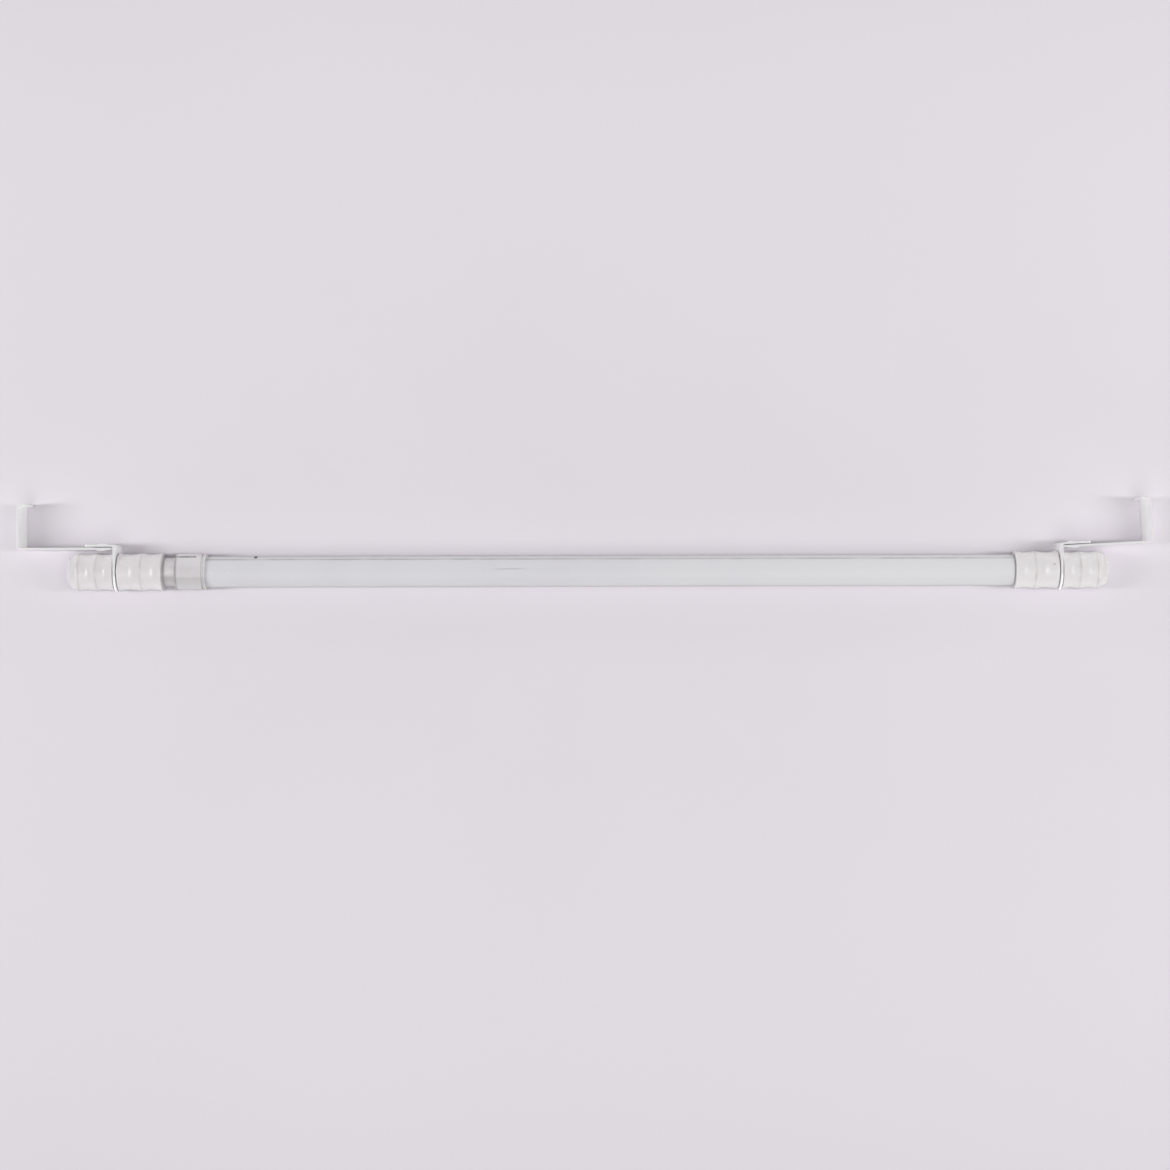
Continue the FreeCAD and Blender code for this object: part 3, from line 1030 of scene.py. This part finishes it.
@dataclass
class SashHook:
    """A hook of folded sheet: a plate in the cap's waist, a strap with leg and lip, and a rivet."""

    side: Side
    finishes: Finishes
    splay: float
    reach: float
    plate_x: float = PLATE_X
    sheet: float = 0.9 * MM
    width: float = 17.0 * MM
    arm_y: float = 9.75 * MM
    tab_y: float = 11.05 * MM
    height: float = 19.25 * MM
    lip: float = 3.8 * MM
    lip_corner: float = 2.0 * MM
    tab: float = 12.5 * MM
    tab_corner: float = 1.5 * MM
    fold: float = 1.05 * MM
    hole_radius: float = 6.1 * MM
    edge: float = 0.14 * MM
    rivet_radius: float = 2.5 * MM
    rivet_dome: float = 0.6 * MM
    rivet_tail: float = 0.4 * MM
    rivet_flat: float = 0.18
    strap_gap: float = 0.6 * MM
    fold_steps: int = 8
    corner_steps: int = 12
    rivet_steps: int = 48
    dome_steps: int = 8
    smooth_angle: float = 50.0

    @property
    def along(self) -> Vector:
        """Direction of the arm, away from the rod."""
        angle = math.radians(self.splay)
        return Vector((self.side.value * math.cos(angle), math.sin(angle), 0))

    @property
    def up(self) -> Vector:
        """Direction of the leg, away from the arm."""
        angle = math.radians(self.splay)
        return Vector((-self.side.value * math.sin(angle), math.cos(angle), 0))

    def at_plate(self, y: float) -> Vector:
        """A place above the middle of the ring plate."""
        return Vector((self.side.value * self.plate_x, y, 0))

    def folded(
        self, name: str, points: list[Vector], round_ends: dict[int, float]
    ) -> bpy.types.Object:
        """Fold a strip of sheet along a line of points.

        Args:
            name: The name of the piece.
            points: Corners of the strip's middle line.
            round_ends: Corner radius for the first point (0) or the last point (-1).

        Returns:
            The folded strip, with its thickness.
        """
        run = points[1] - points[0]
        Bench.clear()
        bpy.ops.mesh.primitive_plane_add(
            size=1.0,
            location=(points[0] + points[1]) / 2,
            rotation=(math.pi / 2, 0, math.atan2(run.y, run.x)),
        )
        bpy.context.object.scale = (run.length, self.width, 1)
        strip = Bench.settle(name)
        bpy.ops.object.mode_set(mode="EDIT")
        Bench.pick(strip, lambda place: (place.xy - points[1].xy).length < Bench.SAME_PLACE)
        for start, end in zip(points[1:], points[2:]):
            bpy.ops.mesh.extrude_region_move(TRANSFORM_OT_translate={"value": end - start})
        for point in points[1:-1]:
            Bench.pick(strip, lambda place: (place.xy - point.xy).length < Bench.SAME_PLACE)
            bpy.ops.mesh.bevel(offset=self.fold, segments=self.fold_steps, affect="EDGES")
        for index, radius in round_ends.items():
            Bench.pick(strip, lambda place: (place.xy - points[index].xy).length < Bench.SAME_PLACE)
            bpy.ops.mesh.bevel(offset=radius, segments=self.corner_steps, affect="VERTICES")
        bpy.ops.object.mode_set(mode="OBJECT")
        Bench.apply(strip, "SOLIDIFY", thickness=self.sheet, offset=0.0, use_even_offset=True)
        bpy.ops.object.mode_set(mode="EDIT")
        Bench.close()
        return strip

    def strap(self) -> bpy.types.Object:
        """Fold the arm, leg and lip.

        Returns:
            The strap.
        """
        root = self.at_plate(self.arm_y)
        start = root + self.along * (self.sheet / 2 + self.strap_gap)
        leg_root = root + self.along * (self.reach - self.sheet / 2)
        lip_root = leg_root + self.up * (self.height - self.sheet)
        lip_end = lip_root - self.along * (self.lip - self.sheet / 2)
        points = [start, leg_root, lip_root, lip_end]
        strap = self.folded(f"{self.side.word}_hook_bow", points, {-1: self.lip_corner})
        Bench.soften(strap, self.edge)
        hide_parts(f"{self.side.word}_hook_strap")
        return strap

    def plate(self) -> bpy.types.Object:
        """Fold the ring plate and its tab, round its lower end and bore it for the waist.

        Returns:
            The plate.
        """
        tab_root = self.at_plate(self.tab_y)
        tab_end = tab_root + self.along * (self.tab - self.sheet / 2)
        half = self.width / 2
        points = [self.at_plate(-half), tab_root, tab_end]
        round_ends = {0: half - 0.01 * MM, -1: self.tab_corner}
        plate = self.folded(f"{self.side.word}_waist_plate", points, round_ends)
        Bench.clear()
        bpy.ops.mesh.primitive_cylinder_add(
            vertices=Bench.ROUND_STEPS,
            radius=self.hole_radius,
            depth=4 * self.sheet,
            location=self.at_plate(0),
            rotation=(0, math.pi / 2, 0),
        )
        Bench.cut(plate, Bench.settle("waist_bore"))
        Bench.soften(plate, self.edge)
        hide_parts(f"{self.side.word}_ring_plate")
        return plate

    def dome(self, name: str, base: Vector, up: Vector, height: float) -> bpy.types.Object:
        """Raise a low round head from a disc.

        Args:
            name: The name of the piece.
            base: Middle of the disc.
            up: Direction that the head rises in.
            height: Its height.

        Returns:
            The head.
        """
        Bench.clear()
        bpy.ops.mesh.primitive_circle_add(
            vertices=self.rivet_steps,
            radius=self.rivet_radius,
            fill_type="NGON",
            location=base,
            rotation=up.to_track_quat("Z", "Y").to_euler(),
        )
        head = Bench.settle(name)
        bpy.ops.object.mode_set(mode="EDIT")
        bpy.ops.mesh.select_mode(type="FACE")
        bpy.ops.mesh.select_all(action="SELECT")
        risen, radius = 0.0, self.rivet_radius
        for step in range(1, self.dome_steps + 1):
            turn = math.radians(90 * step / (self.dome_steps + 0.5))
            next_risen = height * math.sin(turn)
            share = self.rivet_flat + (1 - self.rivet_flat) * math.cos(turn)
            next_radius = self.rivet_radius * share
            move = up * (next_risen - risen)
            bpy.ops.mesh.extrude_region_move(TRANSFORM_OT_translate={"value": move})
            ratio = next_radius / radius
            centre = base + up * next_risen
            bpy.ops.transform.resize(value=(ratio, ratio, ratio), center_override=centre)
            risen, radius = next_risen, next_radius
        Bench.close()
        Bench.shade(head, self.smooth_angle)
        return head

    def rivet(self) -> bpy.types.Object:
        """Raise the rivet's head on the tab and its tail under the arm, as one piece.

        Returns:
            The rivet.
        """
        place = self.at_plate(self.arm_y) + self.along * (self.tab / 2)
        name = f"{self.side.word}_dome_rivet"
        head_base = place + self.up * (self.tab_y - self.arm_y + self.sheet / 2)
        head = self.dome(name, head_base, self.up, self.rivet_dome)
        tail_base = place - self.up * (self.sheet / 2)
        tail = self.dome("rivet_tail", tail_base, -self.up, self.rivet_tail)
        Bench.take(head)
        tail.select_set(True)
        bpy.ops.object.join()
        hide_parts(f"{self.side.word}_rivet")
        return head

    def build(self) -> list[bpy.types.Object]:
        """Make and dress the three pieces of the hook.

        Returns:
            Plate, strap and rivet.
        """
        pieces = [self.plate(), self.strap(), self.rivet()]
        for piece in pieces:
            dress(piece, self.finishes.hook_paint)
            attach(piece, self.side.hook_body)
        return pieces


@dataclass
class PressSpring:
    """The coil that presses the two ends apart."""

    finishes: Finishes
    start_x: float = 31.0 * MM
    length: float = 70.0 * MM
    turns: int = 8
    wire_radius: float = 0.5 * MM
    coil_radius: float = 4.4 * MM
    wire_steps: int = 10
    turn_steps: int = 28
    smooth_angle: float = 50.0

    def build(self) -> bpy.types.Object:
        """Wind the coil from one wire section and close its ends.

        Returns:
            The dressed spring.
        """
        Bench.clear()
        first = self.start_x + self.wire_radius
        bpy.ops.mesh.primitive_circle_add(
            vertices=self.wire_steps,
            radius=self.wire_radius,
            location=(first, 0, self.coil_radius),
            rotation=(math.pi / 2, 0, 0),
        )
        coil = Bench.settle("wound_spring")
        pitch = (self.length - 2 * self.wire_radius) / self.turns
        Bench.apply(
            coil,
            "SCREW",
            axis="X",
            angle=math.tau,
            screw_offset=pitch,
            iterations=self.turns,
            steps=self.turn_steps,
            render_steps=self.turn_steps,
            use_merge_vertices=True,
        )
        bpy.ops.object.mode_set(mode="EDIT")
        bpy.ops.mesh.select_all(action="DESELECT")
        bpy.ops.mesh.select_mode(type="EDGE")
        bpy.ops.mesh.select_non_manifold()
        bpy.ops.mesh.fill()
        Bench.close()
        Bench.shade(coil, self.smooth_angle)
        dress(coil, self.finishes.spring)
        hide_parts("spring")
        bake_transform(coil)
        return coil


@dataclass
class TwistLock:
    """The pieces inside the tube that hold its length, whose shapes the frame already holds."""

    finishes: Finishes
    plastic: tuple[str, ...] = ("spring_stop", "guide_bush", "lock_spindle", "cam_collar")

    def build(self) -> list[bpy.types.Object]:
        """Dress the lock's pieces.

        Returns:
            The dressed nodes.
        """
        nodes = frame["nodes"]
        for name in self.plastic:
            dress(nodes[name], self.finishes.lock)
        dress(nodes["push_nut"], self.finishes.spring)
        return [nodes[name] for name in self.plastic] + [nodes["push_nut"]]


@dataclass(frozen=True)
class SoftLamp:
    """A soft lamp that faces the rod; a shine gives highlights, any other lamp all but these."""

    name: str
    place: Triple
    aim: Triple
    size: Span
    power: float
    shine: bool = False

    def build(self) -> bpy.types.Object:
        """Hang the lamp.

        Returns:
            The lamp.
        """
        Bench.clear()
        facing = (Vector(self.aim) - Vector(self.place)).to_track_quat("-Z", "Y").to_euler()
        bpy.ops.object.light_add(type="AREA", location=self.place, rotation=facing)
        lamp = bpy.context.object
        lamp.name = self.name
        lamp.visible_camera = False
        lamp.visible_glossy = self.shine
        lamp.visible_diffuse = not self.shine
        lamp.data.shape = "RECTANGLE"
        lamp.data.size, lamp.data.size_y = self.size
        lamp.data.energy = self.power
        return lamp


@dataclass(frozen=True)
class CeilingGlow:
    """Even light from overhead, as from a large diffuser; angles are in degrees."""

    name: str
    tilt: float
    spread: float
    strength: float
    shine: bool = True
    height: float = 2.0

    def build(self) -> bpy.types.Object:
        """Hang the light.

        Returns:
            The lamp.
        """
        Bench.clear()
        turn = (math.radians(self.tilt), 0, 0)
        bpy.ops.object.light_add(type="SUN", location=(0, 0, self.height), rotation=turn)
        lamp = bpy.context.object
        lamp.name = self.name
        lamp.visible_glossy = self.shine
        lamp.data.angle = math.radians(self.spread)
        lamp.data.energy = self.strength
        return lamp


@dataclass
class Studio:
    """Floor, lamps, dim room and the camera above the rod."""

    finishes: Finishes
    floor_z: float = -8.5 * MM
    floor_size: float = 3.0
    floor_cuts: int = 4
    room: Colour = (0.08, 0.08, 0.082)
    backdrop: Colour = (0.74, 0.70, 0.75)
    camera_place: Triple = (-1.27 * MM, -5.96 * MM, 1010.0 * MM)
    camera_turn: float = -0.145
    lens: float = 73.6
    sensor: float = 36.0
    near_clip: float = 0.01

    def floor(self) -> bpy.types.Object:
        """Lay the board and divide it.

        Returns:
            The floor.
        """
        Bench.clear()
        bpy.ops.mesh.primitive_plane_add(size=self.floor_size, location=(0, 0, self.floor_z))
        board = Bench.settle("pale_floor")
        bpy.ops.object.mode_set(mode="EDIT")
        bpy.ops.mesh.select_all(action="SELECT")
        bpy.ops.mesh.subdivide(number_cuts=self.floor_cuts)
        bpy.ops.object.mode_set(mode="OBJECT")
        dress(board, self.finishes.floor)
        return board

    def lamps(self) -> list[bpy.types.Object]:
        """Hang the lights overhead, the lamps along the rod, a shine for each cap and the walls.

        Returns:
            The lamps.
        """
        plan = [
            CeilingGlow("ceiling_glow", 19.0, 36.0, 0.74),
            CeilingGlow("overhead_glow", 0.0, 5.0, 0.50, False),
            SoftLamp("middle_lamp", (0.10, 0.0, 0.65), (0.1, 0, 0), (0.06, 0.20), 0.55),
            SoftLamp("left_lamp", (-0.72, 0.0, 0.62), (-0.1, 0, 0), (0.08, 0.55), 3.6),
            SoftLamp("right_lamp", (0.62, 0.0, 0.56), (0.1, 0, 0), (0.08, 0.42), 2.05),
            SoftLamp("left_shine", (-0.354, 0.0, 0.65), (-0.2, 0, 0), (0.45, 0.05), 1.0, True),
            SoftLamp("right_shine", (0.325, 0.0, 0.65), (0.2, 0, 0), (0.45, 0.05), 0.7, True),
            SoftLamp("left_wall", (-2.0, 0.0, 0.15), (0, 0, 0), (2.0, 0.3), 10.0),
            SoftLamp("right_wall", (2.0, 0.0, 0.15), (0, 0, 0), (2.0, 0.3), 15.0),
        ]
        return [lamp.build() for lamp in plan]

    def dim_room(self) -> bpy.types.World:
        """Fill the room with a little even light, and let the camera see a pale backdrop.

        Returns:
            The world.
        """
        world = bpy.data.worlds.new("dim_room")
        world.use_nodes = True
        nodes, links = world.node_tree.nodes, world.node_tree.links
        seen = nodes.new("ShaderNodeLightPath").outputs["Is Camera Ray"]
        blend = nodes.new("ShaderNodeMix")
        blend.data_type = "RGBA"
        links.new(seen, blend.inputs["Factor"])
        blend.inputs[MIX_A].default_value = (*self.room, 1.0)
        blend.inputs[MIX_B].default_value = (*self.backdrop, 1.0)
        links.new(blend.outputs[MIX_RESULT], nodes["Background"].inputs["Color"])
        bpy.context.scene.world = world
        return world

    def camera(self) -> bpy.types.Object:
        """Hang the camera straight above, as the photograph was taken.

        Returns:
            The camera.
        """
        Bench.clear()
        turn = (0, 0, math.radians(self.camera_turn))
        bpy.ops.object.camera_add(location=self.camera_place, rotation=turn)
        camera = bpy.context.object
        camera.name = "camera_above"
        camera.data.sensor_width = self.sensor
        camera.data.lens = self.lens
        camera.data.clip_start = self.near_clip
        bpy.context.scene.camera = camera
        return camera

    def build(self) -> None:
        """Set the whole stage."""
        self.floor()
        self.lamps()
        self.dim_room()
        self.camera()
        bpy.context.scene.view_settings.view_transform = "Standard"


def report(pieces: list[bpy.types.Object]) -> None:
    """Log each finished piece with its number of faces."""
    for piece in pieces:
        LOG.info("%s: %d faces", piece.name, len(piece.data.polygons))


def main() -> None:
    """Build and dress the rod, then set the stage."""
    logging.basicConfig(level=logging.INFO, format="%(name)s: %(message)s")
    finishes = Finishes()
    report(TelescopicTubes(finishes).build())
    report([EndCap(Side.LEFT, finishes, 19.4 * MM).build()])
    report([EndCap(Side.RIGHT, finishes, 19.0 * MM).build()])
    report(SashHook(Side.LEFT, finishes, 0.0, 40.7 * MM).build())
    report(SashHook(Side.RIGHT, finishes, 3.0, 38.2 * MM).build())
    report([PressSpring(finishes).build()])
    report(TwistLock(finishes).build())
    Studio(finishes).build()


if __name__ == "__main__":
    main()
